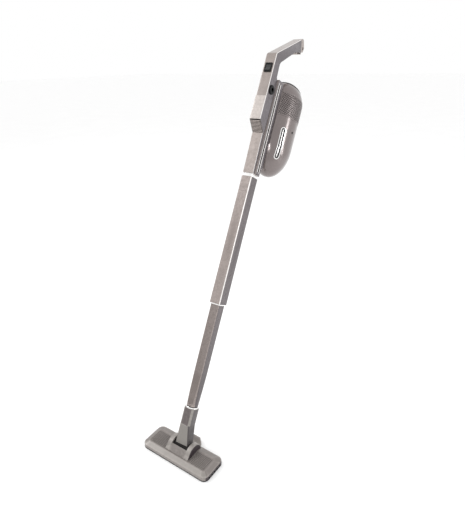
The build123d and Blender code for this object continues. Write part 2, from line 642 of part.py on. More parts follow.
# side outline of the stick body, handle and grip: (rearward, up the stick)
body_pts = [(-13.8, BODY_BOT), (-16.6, 842.1), (-14.8, 844.5), (-41.5, 867.3),
            (-41.6, 931.0), (-41.0, 1041.0), (62.0, 1130.9),
            (75.6, 1101.9), (47.8, 1087.8), (14.6, 1055.6),
            (-10.9, 1030.6), (-14.0, 1024.0), (-12.6, 988.6), (-8.2, 984.0),
            (21.0, 984.0), (21.0, 757.0), (20.0, BODY_BOT - 1.6)]
SCREWS = [(14.0, 790.0), (13.0, 966.0), (-27.0, 1021.0), (40.0, 1097.5)]
for tag, sx in (("left", -1), ("right", 1)):
    with BuildPart() as half:
        with BuildSketch(side(0)) as outline:
            with BuildLine():
                Polyline(*body_pts, close=True)
            make_face()
            fillet([v for v in outline.vertices() if hypot(v.X + 41.0, v.Y - 1041.0) < 1.0], 9.0)
            fillet([v for v in outline.vertices() if hypot(v.X + 10.9, v.Y - 1030.6) < 1.0], 4.0)
        extrude(amount=sx * HW)
        # rounded outer edges: front and grip top, underside of the grip, lower front
        for lo_y, hi_y, lo_s, hi_s, rad in ((-43, 40, 870, 1115, 2.6), (-14, 64, 990, 1098, 2.4),
                                            (-16, -14, 740, 842, 1.2)):
            rim = []
            for e in half.edges():
                if abs(abs(e.center().X) - HW) > 0.01 or e.length < 1.0:
                    continue
                dy, dz = e.center().Y - PY, e.center().Z - PZ
                yp, up = dy * CL - dz * SL, dy * SL + dz * CL
                upper = yp < -30 or up > 1040.0 + (yp + 28) * 0.9
                if lo_y < yp < hi_y and lo_s < up < hi_s:
                    if (rad > 2.5 and upper) or (rad == 2.4 and not upper) or rad < 2:
                        rim.append(e)
            fillet(rim, rad)
        # cavity
        with BuildSketch(side(0)):
            with BuildLine():
                Polyline(*body_pts, close=True)
            make_face()
            offset(amount=-WALL, kind=Kind.INTERSECTION, mode=Mode.REPLACE)
        extrude(amount=sx * (HW - WALL), mode=Mode.SUBTRACT)
        # bottom opening for the connector tube and the pocket for its flange
        with BuildSketch(sec(BODY_BOT - 6)):
            with Locations((0, WAND_Y)):
                RectangleRounded(TUBE_X + 0.1, TUBE_Y + 0.1, 3.0)
        extrude(amount=20, mode=Mode.SUBTRACT)
        # collar that grips the tube's flange
        with BuildSketch(sec(740.4)):
            with Locations((0, WAND_Y)):
                Rectangle(27.6, 26.0)
                RectangleRounded(TUBE_X + 0.1, TUBE_Y + 0.1, 3.0, mode=Mode.SUBTRACT)
            with Locations((-sx * 20, 0)):
                Rectangle(40, 60, mode=Mode.SUBTRACT)
        extrude(amount=3.5)
        # switch window in the front
        with BuildSketch(front(-46.0)):
            with Locations((0, SW_S)):
                Rectangle(17.6, 21.0)
        extrude(amount=-9.0, mode=Mode.SUBTRACT)
        # battery opening under the cover
        with BuildSketch(front(-46.0)):
            with Locations((0, 899.0)):
                Rectangle(23.0, 50.0)
        extrude(amount=-9.0, mode=Mode.SUBTRACT)
        # cooling opening behind the louvre
        with BuildSketch(side(-11.5)):
            with BuildLine():
                Polyline((-20.0, 844.0), (-37.5, 859.0), (-33.5, 868.5), (-15.5, 853.0), close=True)
            make_face()
        extrude(amount=23.0, mode=Mode.SUBTRACT)
        # suction port through the back
        with BuildSketch(front(28.0)):
            with Locations((0, PORT_S)):
                Rectangle(19.0, PORT_L)
        extrude(amount=13.0, mode=Mode.SUBTRACT)
        # cable pass to the motor
        with BuildSketch(front(28.0)):
            with Locations((0, 952.0)):
                Circle(3.5)
        extrude(amount=13.0, mode=Mode.SUBTRACT)
        # screw bosses
        with BuildSketch(side(sx * 0.05)):
            with Locations(*SCREWS):
                Circle(3.3)
        extrude(amount=sx * (HW - 1.4))
        if sx < 0:
            with BuildSketch(side(-HW - 1)):
                with Locations(*SCREWS):
                    Circle(1.35)
            extrude(amount=30, mode=Mode.SUBTRACT)
            with BuildSketch(side(-HW - 1)):
                with Locations(*SCREWS):
                    Circle(2.75)
            extrude(amount=4.0, mode=Mode.SUBTRACT)
        else:
            with BuildSketch(side(-0.1)):
                with Locations(*SCREWS):
                    Circle(1.35)
            extrude(amount=10.0, mode=Mode.SUBTRACT)
            # seat of the charging inlet
            with BuildSketch(side(5.0)):
                with Locations((INLET_Y, INLET_S)):
                    Circle(8.1)
            extrude(amount=20.0, mode=Mode.SUBTRACT)
    keep(half, "body_" + tag)

with BuildPart() as body_screws:
    with BuildSketch(side(-HW + 1.2)):
        with Locations(*SCREWS):
            Circle(2.6)
    extrude(amount=1.75)
    with BuildSketch(side(-HW + 1.2)):
        with Locations(*SCREWS):
            Circle(1.3)
    extrude(amount=HW + 7.5)
    with BuildSketch(side(-HW + 1.0)):
        with Locations(*SCREWS):
            Rectangle(3.0, 0.7)
            Rectangle(0.7, 3.0)
    extrude(amount=0.9, mode=Mode.SUBTRACT)
keep(body_screws, "body_screws")

# ---- front battery cover that wraps the body
with BuildPart() as battery_cover:
    with BuildSketch(side(-16.4)) as cov:
        with BuildLine():
            Polyline((-44.75, 870.2), (-43.3, COVER_TOP), (-9.0, COVER_TOP), (-9.0, 845.6),
                     (-14.2, 844.1), close=True)
        make_face()
    extrude(amount=32.8)
    fillet([e for e in battery_cover.edges()
            if abs(abs(e.center().X) - 16.4) < 0.05 and e.length > 50
            and abs(e.center().Y - at(-44.0, 900.0)[0]) < 4.0], 3.0)
    with BuildSketch(side(-15.65)):
        with BuildLine():
            Polyline((-41.8, 860.0), (-41.8, 940), (0, 940), (0, 836), (-14.0, 836), close=True)
        make_face()
    extrude(amount=31.3, mode=Mode.SUBTRACT)
keep(battery_cover, "battery_cover")

# ---- louvred air inlet on the slanted face
with BuildPart() as louvre:
    with BuildSketch(side(-15.4)):
        with BuildLine():
            Polyline((-16.9, 842.5), (-44.7, 866.4), (-44.7, 869.9), (-15.0, 844.55), close=True)
        make_face()
    extrude(amount=30.8)
    nrm = (0.647, 0.762)
    for k in range(7):
        t = 0.14 + 0.118 * k
        c0 = (-16.6 + t * -28.1, 842.6 + t * 23.8)
        with BuildSketch(side(-12.0)):
            with BuildLine():
                Polyline((c0[0] - 1.5 * nrm[0] + 0.7, c0[1] - 1.5 * nrm[1] - 0.6),
                         (c0[0] + 5 * nrm[0] + 0.7, c0[1] + 5 * nrm[1] - 0.6),
                         (c0[0] + 5 * nrm[0] - 0.9, c0[1] + 5 * nrm[1] + 0.8),
                         (c0[0] - 1.5 * nrm[0] - 0.9, c0[1] - 1.5 * nrm[1] + 0.8), close=True)
            make_face()
        extrude(amount=24.0, mode=Mode.SUBTRACT)
keep(louvre, "louvre_grille")

# ---- saddle: rim around the spine that carries the pod
with BuildPart() as saddle:
    with BuildSketch(sec(738.2)):
        with Locations((0, 2.2)):
            Rectangle(2 * SADDLE_X, 18.4)
    extrude(amount=249.8)
    with BuildSketch(sec(757.2)):
        with Locations((0, 17.6)):
            Rectangle(34.8, 13.2)
    extrude(amount=230.8)
    with BuildSketch(side(-30)):
        with BuildLine():
            Polyline((-8, 981.0), (-4, 989), (-12, 989), close=True)
        make_face()
    extrude(amount=60, mode=Mode.SUBTRACT)
    # bright rim lines: a groove runs down each side
    for sx in (-1, 1):
        with BuildSketch(sec(742.0)):
            with Locations((sx * SADDLE_X, 2.6)):
                Rectangle(1.8, 6.6)
        extrude(amount=240.0, mode=Mode.SUBTRACT)
    # space for the spine
    with BuildSketch(sec(730.0)):
        with Locations((0, 0.0)):
            Rectangle(2 * SADDLE_IN, 42.1)
    extrude(amount=254.1, mode=Mode.SUBTRACT)
    # suction port and cable pass
    with BuildSketch(front(28.0)):
        with Locations((0, PORT_S)):
            Rectangle(19.0, PORT_L)
    extrude(amount=13.0, mode=Mode.SUBTRACT)
    with BuildSketch(front(28.0)):
        with Locations((0, 952.0)):
            Circle(3.5)
    extrude(amount=13.0, mode=Mode.SUBTRACT)
keep(saddle, "pod_saddle")

# ---- grip end cap with its hanging eye, and the strap loop below it
with BuildPart() as grip_cap:
    with BuildSketch(side(-HW + 0.1)) as capsk:
        with BuildLine():
            Polyline((62.1, 1131.0), (70.4, 1138.2), (76.2, 1137.6), (88.4, 1119.6), (86.4, 1107.8), (75.7, 1101.9), close=True)
        make_face()
        fillet([v for v in capsk.vertices() if v.X > 69 and v.X < 89 and v.Y > 1105], 3.0)
    extrude(amount=2 * HW - 0.2)
    fillet([e for e in grip_cap.edges() if abs(abs(e.center().X) - (HW - 0.1)) < 0.05
            and e.length > 1.0 and (e.center().Y - PY) * CL - (e.center().Z - PZ) * SL
            > 73.0 - 0.3 * ((e.center().Y - PY) * SL + (e.center().Z - PZ) * CL - 1120.0)], 2.2)
    with BuildSketch(side(-HW - 1)):
        with Locations((80.2, 1115.4)):
            Circle(3.6)
    extrude(amount=2 * HW + 2, mode=Mode.SUBTRACT)
keep(grip_cap, "grip_end_cap")

with BuildPart() as loop:
    with BuildSketch(side(-11.0)):
        with BuildLine():
            Polyline((60.05, 1093.85), (61.45, 1091.14), (65.67, 1091.48), (82.82, 1100.35),
                     (85.04, 1103.17), (83.45, 1106.06), (80.05, 1104.18), (81.45, 1101.64),
                     (64.36, 1092.8), (63.05, 1095.4), close=True)
        make_face()
    extrude(amount=22.0)
keep(loop, "strap_loop")

# ---- switch: bezel and rocker
with BuildPart() as bezel:
    with BuildSketch(front(-41.28)):
        with Locations((0, SW_S)):
            RectangleRounded(20.6, 24.0, 2.0)
    extrude(amount=2.0, both=False)
    with BuildSketch(front(-41.3)):
        with Locations((0, SW_S)):
            Rectangle(17.4, 20.8)
    extrude(amount=-5.8)
    with BuildSketch(front(-46.0)):
        with Locations((0, SW_S)):
            Rectangle(14.6, 17.8)
    extrude(amount=-14.0, mode=Mode.SUBTRACT)
keep(bezel, "switch_bezel")

RK_Y, RK_A = -38.4, -6.0       # rocker pivot and its resting tilt


def rk(dy, ds):
    a = radians(RK_A)
    return (RK_Y + dy * cos(a) - ds * sin(a), SW_S + dy * sin(a) + ds * cos(a))


with BuildPart() as rocker:
    with BuildSketch(side(-6.9)):
        with Locations((RK_Y, SW_S)):
            Circle(8.4)
        with BuildLine():
            Polyline(rk(-3.9, 0), rk(-5.4, 9.0), rk(-12, 9.4), rk(-12, -9.4), rk(-5.4, -9.0), close=True)
        make_face(mode=Mode.SUBTRACT)
        with BuildLine():
            Polyline(rk(2.6, -10), rk(2.6, 10), rk(12, 10), rk(12, -10), close=True)
        make_face(mode=Mode.SUBTRACT)
    extrude(amount=13.8)
    with BuildSketch(side(-8)):
        with Locations((RK_Y, SW_S)):
            Circle(1.05)
    extrude(amount=16, mode=Mode.SUBTRACT)
keep(rocker, "rocker_switch")
with BuildPart() as rocker_pin:
    with BuildSketch(side(-7.3)):
        with Locations((RK_Y, SW_S)):
            Circle(1.0)
    extrude(amount=14.6)
keep(rocker_pin, "rocker_pin")

# ---- charging inlet on the right side
with BuildPart() as inlet_ring:
    with BuildSketch(side(HW + 0.05)):
        with Locations((INLET_Y, INLET_S)):
            Circle(INLET_R)
    extrude(amount=4.2)
    fillet([e for e in inlet_ring.edges().filter_by(GeomType.CIRCLE) if e.center().X > HW + 3], 2.2)
    with BuildSketch(side(HW + 0.1)):
        with Locations((INLET_Y, INLET_S)):
            Circle(8.0)
    extrude(amount=-8.0)
    with BuildSketch(side(HW + 6)):
        with Locations((INLET_Y, INLET_S)):
            Circle(5.0)
    extrude(amount=-12.6, mode=Mode.SUBTRACT)
keep(inlet_ring, "inlet_ring")
with BuildPart() as inlet_pin:
    with BuildSketch(side(HW - 6.6)):
        with Locations((INLET_Y, INLET_S)):
            Circle(1.1)
    extrude(amount=7.6)
    fillet(inlet_pin.edges().filter_by(GeomType.CIRCLE).sort_by(Axis.X)[-1], 0.5)
keep(inlet_pin, "inlet_pin")

# ---- battery cells and control board inside the body
with BuildPart() as cells:
    with BuildSketch(sec(869.0)):
        with Locations((0, -29.6), (0, -10.6), (0, 8.4)):
            Circle(9.1)
    extrude(amount=65.0)
keep(cells, "battery_cells")
with BuildPart() as cell_holder:
    with BuildSketch(sec(866.0)):
        with Locations((0, -10.6)):
            Rectangle(26.6, 57.0)
        with Locations((0, -29.6), (0, -10.6), (0, 8.4)):
            Circle(6.0, mode=Mode.SUBTRACT)
    extrude(amount=2.9)
    with BuildSketch(sec(934.1)):
        with Locations((0, -10.6)):
            Rectangle(26.6, 57.0)
        with Locations((0, -29.6), (0, -10.6), (0, 8.4)):
            Circle(6.0, mode=Mode.SUBTRACT)
    extrude(amount=2.9)
    with BuildSketch(sec(866.0)):
        for sx in (-1, 1):
            with Locations((sx * 11.6, -10.6)):
                Rectangle(3.4, 57.0)
        with Locations((0, -29.6), (0, -10.6), (0, 8.4)):
            Circle(9.15, mode=Mode.SUBTRACT)
    extrude(amount=70.0)
    # corner kept clear of the slanted front wall
    with BuildSketch(side(-20)):
        with BuildLine():
            Polyline((-42, 860), (-42, 869.5), (-38.6, 869.5), (-34.5, 863), close=True)
        make_face()
    extrude(amount=40, mode=Mode.SUBTRACT)
keep(cell_holder, "cell_holder")
with BuildPart() as board:
    with BuildSketch(side(-13.35)):
        with Locations((-3.0, 955.0)):
            Rectangle(18, 28)
    extrude(amount=1.6)
    with BuildSketch(side(-11.8)):
        with Locations((-7.0, 949.0)):
            Rectangle(6, 8)
        with Locations((1.0, 949.0)):
            Circle(3.2)
    extrude(amount=5.0)
keep(board, "control_board")

# =================================================================== pod
def pod_form(grow, cut):
    """Whole capsule of the pod, grown by an amount and cut flat towards the saddle."""
    bends = (84.5, 78, 69, 58, 45, 30, 15, 0)
    rows = [(POD_S0 - (POD_LOW + grow) * sin(radians(b)), cos(radians(b))) for b in bends]
    rows += [(POD_S0 + (POD_S1 - POD_S0) * k / 6, 1.0) for k in range(1, 6)]
    rows += [(POD_S1 + (POD_HIGH + grow) * sin(radians(b)), cos(radians(b))) for b in reversed(bends)]
    with BuildPart() as form:
        for s, k in rows:
            with BuildSketch(sec(s)):
                with Locations((0, POD_Y)):
                    Ellipse((POD_RX + grow) * k, (POD_RY + grow) * k)
        loft()
        with BuildSketch(sec(700.0)):
            with Locations((0, cut - 60)):
                Rectangle(160, 120)
        extrude(amount=340, mode=Mode.SUBTRACT)
    return form.part


outer_up, inner_up = pod_form(0.0, CUT_UP), pod_form(-2.4, CUT_UP + 2.4)
outer_low, inner_low = pod_form(0.0, CUT_LOW), pod_form(-2.2, CUT_LOW + 2.2)
band_out, band_in = pod_form(0.8, CUT_UP + 3), pod_form(0.03, CUT_UP)
lens_out, lens_in = pod_form(-0.3, CUT_LOW), pod_form(-2.1, CUT_LOW)
rim_out, rim_in = pod_form(1.3, CUT_LOW), pod_form(0.03, CUT_LOW)

# ---- upper pod shell: motor housing, flat where it stands on the saddle
with BuildPart() as motor_housing:
    add(outer_up)
    split(bisect_by=sec(POD_SEAM + 0.4), keep=Keep.TOP)
    add(inner_up, mode=Mode.SUBTRACT)
    # motor plate with the intake eye
    with BuildSketch(sec(MOTOR_PLATE)):
        with Locations((0, POD_Y)):
            Ellipse(POD_RX - 1.2, POD_RY - 1.2)
            Circle(13.0, mode=Mode.SUBTRACT)
        with Locations((0, CUT_UP + 1.2 - 30)):
            Rectangle(100, 60, mode=Mode.SUBTRACT)
    extrude(amount=2.6)
    # cable pass
    with BuildSketch(front(20.0)):
        with Locations((0, 952.0)):
            Circle(3.5)
    extrude(amount=-10.0, mode=Mode.SUBTRACT)
    # exhaust slots in the rear
    with BuildSketch(front(150.0)):
        with Locations((0, 946.0)):
            with GridLocations(10.0, 1, 6, 1):
                Rectangle(3.4, 16.0)
    extrude(amount=34.0, mode=Mode.SUBTRACT)
keep(motor_housing, "motor_housing")

# ---- black band across the top of the pod
with BuildPart() as top_band:
    add(band_out)
    add(band_in, mode=Mode.SUBTRACT)
    with BuildSketch(side(-70)):
        with BuildLine():
            Polyline((20.0, BAND_S), (150.0, BAND_S - 130.0 * BAND_K),
                     (150.0, BAND_S - 130.0 * BAND_K - 3.0), (20.0, BAND_S - 3.0), close=True)
        make_face()
    extrude(amount=140, mode=Mode.INTERSECT)
keep(top_band, "top_band")

# ---- motor, shaft and impeller
with BuildPart() as motor_can:
    with BuildSketch(SIDE):
        with BuildLine():
            Polyline((POD_Y + 28.4, 932.6), (POD_Y + 30.0, 932.6), (POD_Y + 30.0, 956.0),
                     (POD_Y + 19.0, 960.0), (POD_Y + 19.0, 984.0), (POD_Y + 8.0, 986.5),
                     (POD_Y + 2.6, 986.5), (POD_Y + 2.6, 952.0), (POD_Y + 28.4, 952.0), close=True)
        make_face()
    revolve(axis=POD_AXIS)
keep(motor_can, "motor_can")
with BuildPart() as shaft:
    with BuildSketch(sec(935.0)):
        with Locations((0, POD_Y)):
            Circle(2.5)
    extrude(amount=50.0)
keep(shaft, "motor_shaft")
with BuildPart() as impeller:
    with BuildSketch(sec(946.0)):
        with Locations((0, POD_Y)):
            Circle(26.0)
            Circle(2.52, mode=Mode.SUBTRACT)
    extrude(amount=1.6)
    with BuildSketch(sec(936.4)):
        with Locations((0, POD_Y)):
            Circle(6.0)
            Circle(2.52, mode=Mode.SUBTRACT)
    extrude(amount=9.8)
    with BuildSketch(sec(938.0)):
        with Locations((0, POD_Y)):
            with PolarLocations(15.6, 9):
                with Locations(Location((0, 0, 0), (0, 0, 24))):
                    Rectangle(19.6, 1.2)
    extrude(amount=8.2)
keep(impeller, "impeller")

# ---- dust cup: lower pod shell with its inlet in the flat wall
win = pod_face(WIN_A, WIN_S).offset(3.0)
btn = pod_face(BTN_A, BTN_S)
with BuildPart() as dust_cup:
    add(outer_low)
    split(bisect_by=sec(POD_SEAM), keep=Keep.BOTTOM)
    add(inner_low, mode=Mode.SUBTRACT)
    # ledge for the filter frame
    with BuildSketch(sec(898.0)):
        with Locations((0, POD_Y)):
            Ellipse(POD_RX - 1.0, POD_RY - 1.0)
            Circle(40.6, mode=Mode.SUBTRACT)
        with Locations((0, CUT_LOW + 1.0 - 30)):
            Rectangle(100, 60, mode=Mode.SUBTRACT)
    extrude(amount=2.4)
    # inlet from the body
    with BuildSketch(front(20.0)):
        with Locations((0, PORT_S)):
            Rectangle(19.0, PORT_L)
    extrude(amount=-12.0, mode=Mode.SUBTRACT)
    # window slot and button hole
    with BuildSketch(win):
        SlotOverall(WIN_L, WIN_W, rotation=WIN_TURN)
    extrude(amount=-22.0, mode=Mode.SUBTRACT)
    with BuildSketch(btn):
        Circle(BTN_R + 0.3)
    extrude(amount=3.4, both=True, mode=Mode.SUBTRACT)
    # boss around the button, inside the cup
    with BuildSketch(btn.offset(-1.6)):
        Circle(BTN_R + 2.6)
        Circle(BTN_R + 0.3, mode=Mode.SUBTRACT)
    extrude(amount=-5.0)
    with BuildSketch(btn.offset(-6.0)):
        Circle(BTN_R + 2.6)
    extrude(amount=-1.4)
keep(dust_cup, "dust_cup")

with BuildPart() as window_lens:
    add(lens_out)
    add(lens_in, mode=Mode.SUBTRACT)
    with BuildSketch(win):
        SlotOverall(WIN_L - 0.2, WIN_W - 0.2, rotation=WIN_TURN)
    extrude(amount=-22.0, mode=Mode.INTERSECT)
keep(window_lens, "window_lens")

with BuildPart() as window_rim:
    add(rim_out)
    add(rim_in, mode=Mode.SUBTRACT)
    with BuildSketch(win):
        SlotOverall(WIN_L + 3.6, WIN_W + 3.6, rotation=WIN_TURN)
        SlotOverall(WIN_L - 0.9, WIN_W - 0.9, rotation=WIN_TURN, mode=Mode.SUBTRACT)
    extrude(amount=-22.0, mode=Mode.INTERSECT)
keep(window_rim, "window_rim")

with BuildPart() as cup_button:
    with BuildSketch(btn.offset(-4.6)):
        Circle(BTN_R)
    extrude(amount=5.6)
    fillet(cup_button.faces().sort_by(Axis(btn.origin, btn.z_dir))[-1].edges(), 0.6)
keep(cup_button, "cup_button")

with BuildPart() as filter_frame:
    with BuildSketch(sec(900.4)):
        with Locations((0, POD_Y)):
            Ellipse(POD_RX - 2.7, POD_RY - 2.7)
            Circle(24.0, mode=Mode.SUBTRACT)
        with Locations((0, CUT_LOW + 2.7 - 30)):
            Rectangle(100, 60, mode=Mode.SUBTRACT)
    extrude(amount=3.2)
    with BuildSketch(sec(846.0)):
        with Locations((0, POD_Y)):
            Circle(28.0)
    extrude(amount=2.5)
keep(filter_frame, "filter_frame")
with BuildPart() as filter_pleats:
    with BuildSketch(sec(848.5)):
        with Locations((0, POD_Y)):
            Circle(25.0)
            Circle(22.0, mode=Mode.SUBTRACT)
            with PolarLocations(25.6, 24):
                Rectangle(3.2, 2.4)
    extrude(amount=51.9)
keep(filter_pleats, "filter_pleats")
with BuildPart() as cup_gasket:
    with BuildSketch(sec(903.6)):
        with Locations((0, POD_Y)):
            Ellipse(POD_RX - 2.7, POD_RY - 2.7)
            Ellipse(POD_RX - 6.2, POD_RY - 6.2, mode=Mode.SUBTRACT)
        with Locations((0, CUT_LOW + 2.7 - 30)):
            Rectangle(100, 60, mode=Mode.SUBTRACT)
    extrude(amount=5.4)
    with BuildSketch(sec(903.6)):
        with Locations((0, CUT_LOW + 4.5)):
            Rectangle(33.0, 3.4)
    extrude(amount=5.4)
keep(cup_gasket, "cup_gasket")
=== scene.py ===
import bpy, bmesh, json, random
from math import sin, cos, radians, pi, sqrt, hypot, atan2
from mathutils import Vector, Matrix

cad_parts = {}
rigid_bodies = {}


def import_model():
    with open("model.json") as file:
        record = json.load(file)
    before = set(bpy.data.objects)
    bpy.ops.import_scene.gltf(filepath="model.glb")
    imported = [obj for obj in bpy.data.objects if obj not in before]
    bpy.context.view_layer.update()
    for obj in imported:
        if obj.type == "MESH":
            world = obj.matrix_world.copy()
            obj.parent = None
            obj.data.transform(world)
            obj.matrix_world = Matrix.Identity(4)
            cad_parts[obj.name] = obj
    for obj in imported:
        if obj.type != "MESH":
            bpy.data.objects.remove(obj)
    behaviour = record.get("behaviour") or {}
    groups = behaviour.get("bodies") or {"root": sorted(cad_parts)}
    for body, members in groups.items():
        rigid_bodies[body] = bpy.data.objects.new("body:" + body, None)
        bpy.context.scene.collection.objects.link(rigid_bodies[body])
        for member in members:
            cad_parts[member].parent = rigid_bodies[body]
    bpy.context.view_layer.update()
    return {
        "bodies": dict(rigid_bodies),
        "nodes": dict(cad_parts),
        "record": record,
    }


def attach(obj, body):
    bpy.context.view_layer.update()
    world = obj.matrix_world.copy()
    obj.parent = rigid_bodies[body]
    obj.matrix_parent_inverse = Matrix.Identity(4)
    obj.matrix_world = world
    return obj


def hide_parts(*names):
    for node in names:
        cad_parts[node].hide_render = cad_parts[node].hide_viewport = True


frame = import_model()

NODES, BODIES = frame["nodes"], frame["bodies"]
random.seed(7)

# ------------------------------------------------------------------ stick frame
TH = radians(27.44)
SL, CL = sin(TH), cos(TH)
PY, PZ = 3.92, 31.2
MM = 0.001


def P(x, yp, s):
    """World point in metres of (X, rearward, up the stick) in millimetres."""
    return Vector((x * MM, (PY + yp * CL + s * SL) * MM, (PZ - yp * SL + s * CL) * MM))


BACK = Vector((0, CL, -SL))
UP = Vector((0, SL, CL))
POD_RX, POD_RY, POD_Y = 49.4, 59.8, 79.9
POD_S0, POD_S1, POD_LO, POD_HI = 836.3, 953.8, 84.7, 61.6


def local(v):
    """(X, rearward, up the stick) in millimetres of a world point."""
    dy, dz = v[1] / MM - PY, v[2] / MM - PZ
    return v[0] / MM, dy * CL - dz * SL, dy * SL + dz * CL


def turn(n):
    """A world direction in the stick's own axes."""
    return n[0], n[1] * CL - n[2] * SL, n[1] * SL + n[2] * CL


def pod_gap(x, yp, s, d):
    h = 0.0
    if s < POD_S0:
        h = (POD_S0 - s) / (POD_LO + d)
    if s > POD_S1:
        h = (s - POD_S1) / (POD_HI + d)
    return (x / (POD_RX + d)) ** 2 + ((yp - POD_Y) / (POD_RY + d)) ** 2 + h * h - 1.0


def E(a, s, d=0.0):
    """World point on the pod at oval angle a, height s, d mm outside its skin."""
    h = 0.0
    if s < POD_S0:
        h = (POD_S0 - s) / (POD_LO + d)
    if s > POD_S1:
        h = (s - POD_S1) / (POD_HI + d)
    k = sqrt(max(0.0, 1.0 - h * h))
    return P((POD_RX + d) * k * cos(radians(a)), POD_Y + (POD_RY + d) * k * sin(radians(a)), s)


# ------------------------------------------------------------------ materials
def new_mat(name):
    m = bpy.data.materials.new(name)
    m.use_nodes = True
    nt = m.node_tree
    nt.nodes.clear()
    out = nt.nodes.new("ShaderNodeOutputMaterial")
    b = nt.nodes.new("ShaderNodeBsdfPrincipled")
    nt.links.new(b.outputs[0], out.inputs[0])
    return m, nt, b


def nd(nt, kind, **kw):
    n = nt.nodes.new(kind)
    for k, v in kw.items():
        if k in n.inputs:
            n.inputs[k].default_value = v
        else:
            setattr(n, k, v)
    return n


def ramp(nt, src, stops):
    r = nt.nodes.new("ShaderNodeValToRGB")
    els = r.color_ramp.elements
    while len(els) > 1:
        els.remove(els[-1])
    els[0].position, els[0].color = stops[0][0], stops[0][1]
    for p, c in stops[1:]:
        e = els.new(p)
        e.color = c
    nt.links.new(src, r.inputs[0])
    return r


def g(v):
    return (v, v, v, 1.0)


def shell(name, col, metallic=0.3, rough=0.36, grain=0.25, grain_scale=1400.0, edge=0.35, coat=0.12,
          mottle=0.03, bevel=0.0006, streak=None):
    """Painted or moulded satin surface: fine moulded grain, soft cloudy colour, painted highlight as lighter colour
    along the edges.
    """
    m, nt, b = new_mat(name)
    L = nt.links.new
    tc = nd(nt, "ShaderNodeTexCoord")
    cloud = nd(nt, "ShaderNodeTexNoise", Scale=18.0, Detail=4.0, Roughness=0.55)
    L(tc.outputs["Object"], cloud.inputs["Vector"])
    lo = [c * (1 - mottle) for c in col] + [1.0]
    hi = [min(1.0, c * (1 + mottle)) for c in col] + [1.0]
    base = ramp(nt, cloud.outputs["Fac"], [(0.3, lo), (0.7, hi)])
    # flake sparkle of the metallic finish
    flake = nd(nt, "ShaderNodeTexVoronoi", Scale=2600.0)
    L(tc.outputs["Object"], flake.inputs["Vector"])
    fl = ramp(nt, flake.outputs["Color"], [(0.0, g(0.96)), (1.0, g(1.04))])
    mul = nd(nt, "ShaderNodeMix", data_type="RGBA", blend_type="MULTIPLY")
    mul.inputs[0].default_value = 1.0
    L(base.outputs[0], mul.inputs[6])
    L(fl.outputs[0], mul.inputs[7])
    # painted highlight: lighter colour along convex edges (pointiness), broken up by noise
    geo = nd(nt, "ShaderNodeNewGeometry")
    pt = ramp(nt, geo.outputs["Pointiness"], [(0.50, g(0.0)), (0.56, g(1.0))])
    edge_highlight_breakup = nd(nt, "ShaderNodeTexNoise", Scale=160.0, Detail=3.0)
    L(tc.outputs["Object"], edge_highlight_breakup.inputs["Vector"])
    wr = ramp(nt, edge_highlight_breakup.outputs["Fac"], [(0.35, g(0.35)), (0.65, g(1.0))])
    em = nd(nt, "ShaderNodeMath", operation="MULTIPLY")
    L(pt.outputs[0], em.inputs[0])
    L(wr.outputs[0], em.inputs[1])
    es = nd(nt, "ShaderNodeMath", operation="MULTIPLY")
    es.inputs[1].default_value = edge
    L(em.outputs[0], es.inputs[0])
    mx = nd(nt, "ShaderNodeMix", data_type="RGBA")
    L(es.outputs[0], mx.inputs[0])
    L(mul.outputs[2], mx.inputs[6])
    mx.inputs[7].default_value = [min(1.0, c * 1.9 + 0.06) for c in col] + [1.0]
    L(mx.outputs[2], b.inputs["Base Color"])
    # roughness variation: handling marks
    rn = nd(nt, "ShaderNodeTexNoise", Scale=55.0, Detail=5.0, Roughness=0.6)
    L(tc.outputs["Object"], rn.inputs["Vector"])
    rr = ramp(nt, rn.outputs["Fac"], [(0.3, g(rough - 0.05)), (0.7, g(rough + 0.07))])
    L(rr.outputs[0], b.inputs["Roughness"])
    # bump: fine grain, on top of rounded edges
    gn = nd(nt, "ShaderNodeTexNoise", Scale=grain_scale, Detail=2.0)
    L(tc.outputs["Object"], gn.inputs["Vector"])
    bp = nd(nt, "ShaderNodeBump", Strength=grain, Distance=0.00008)
    L(gn.outputs["Fac"], bp.inputs["Height"])
    if bevel:
        bv = nd(nt, "ShaderNodeBevel", samples=6)
        bv.inputs["Radius"].default_value = bevel
        L(bv.outputs[0], bp.inputs["Normal"])
    L(bp.outputs[0], b.inputs["Normal"])
    b.inputs["Metallic"].default_value = metallic
    b.inputs["Coat Weight"].default_value = coat
    b.inputs["Coat Roughness"].default_value = 0.18
    return m


def plain(name, col, rough=0.4, metallic=0.0, grain=0.2, scale=900.0, vary=0.15, coat=0.0, bevel=0.0004,
          spec=0.5, aniso=0.0, rvar=0.08, dist=0.00008):
    m, nt, b = new_mat(name)
    L = nt.links.new
    tc = nd(nt, "ShaderNodeTexCoord")
    n1 = nd(nt, "ShaderNodeTexNoise", Scale=60.0, Detail=5.0, Roughness=0.6)
    L(tc.outputs["Object"], n1.inputs["Vector"])
    c1 = ramp(nt, n1.outputs["Fac"], [(0.3, [c * (1 - vary) for c in col] + [1]),
                                      (0.7, [min(1, c * (1 + vary)) for c in col] + [1])])
    L(c1.outputs[0], b.inputs["Base Color"])
    r1 = ramp(nt, n1.outputs["Fac"], [(0.3, g(max(0.02, rough - rvar))), (0.7, g(rough + rvar))])
    L(r1.outputs[0], b.inputs["Roughness"])
    n2 = nd(nt, "ShaderNodeTexNoise", Scale=scale, Detail=3.0)
    L(tc.outputs["Object"], n2.inputs["Vector"])
    bp = nd(nt, "ShaderNodeBump", Strength=grain, Distance=dist)
    L(n2.outputs["Fac"], bp.inputs["Height"])
    if bevel:
        bv = nd(nt, "ShaderNodeBevel", samples=6)
        bv.inputs["Radius"].default_value = bevel
        L(bv.outputs[0], bp.inputs["Normal"])
    L(bp.outputs[0], b.inputs["Normal"])
    b.inputs["Metallic"].default_value = metallic
    b.inputs["Coat Weight"].default_value = coat
    b.inputs["Specular IOR Level"].default_value = spec
    b.inputs["Anisotropic"].default_value = aniso
    return m


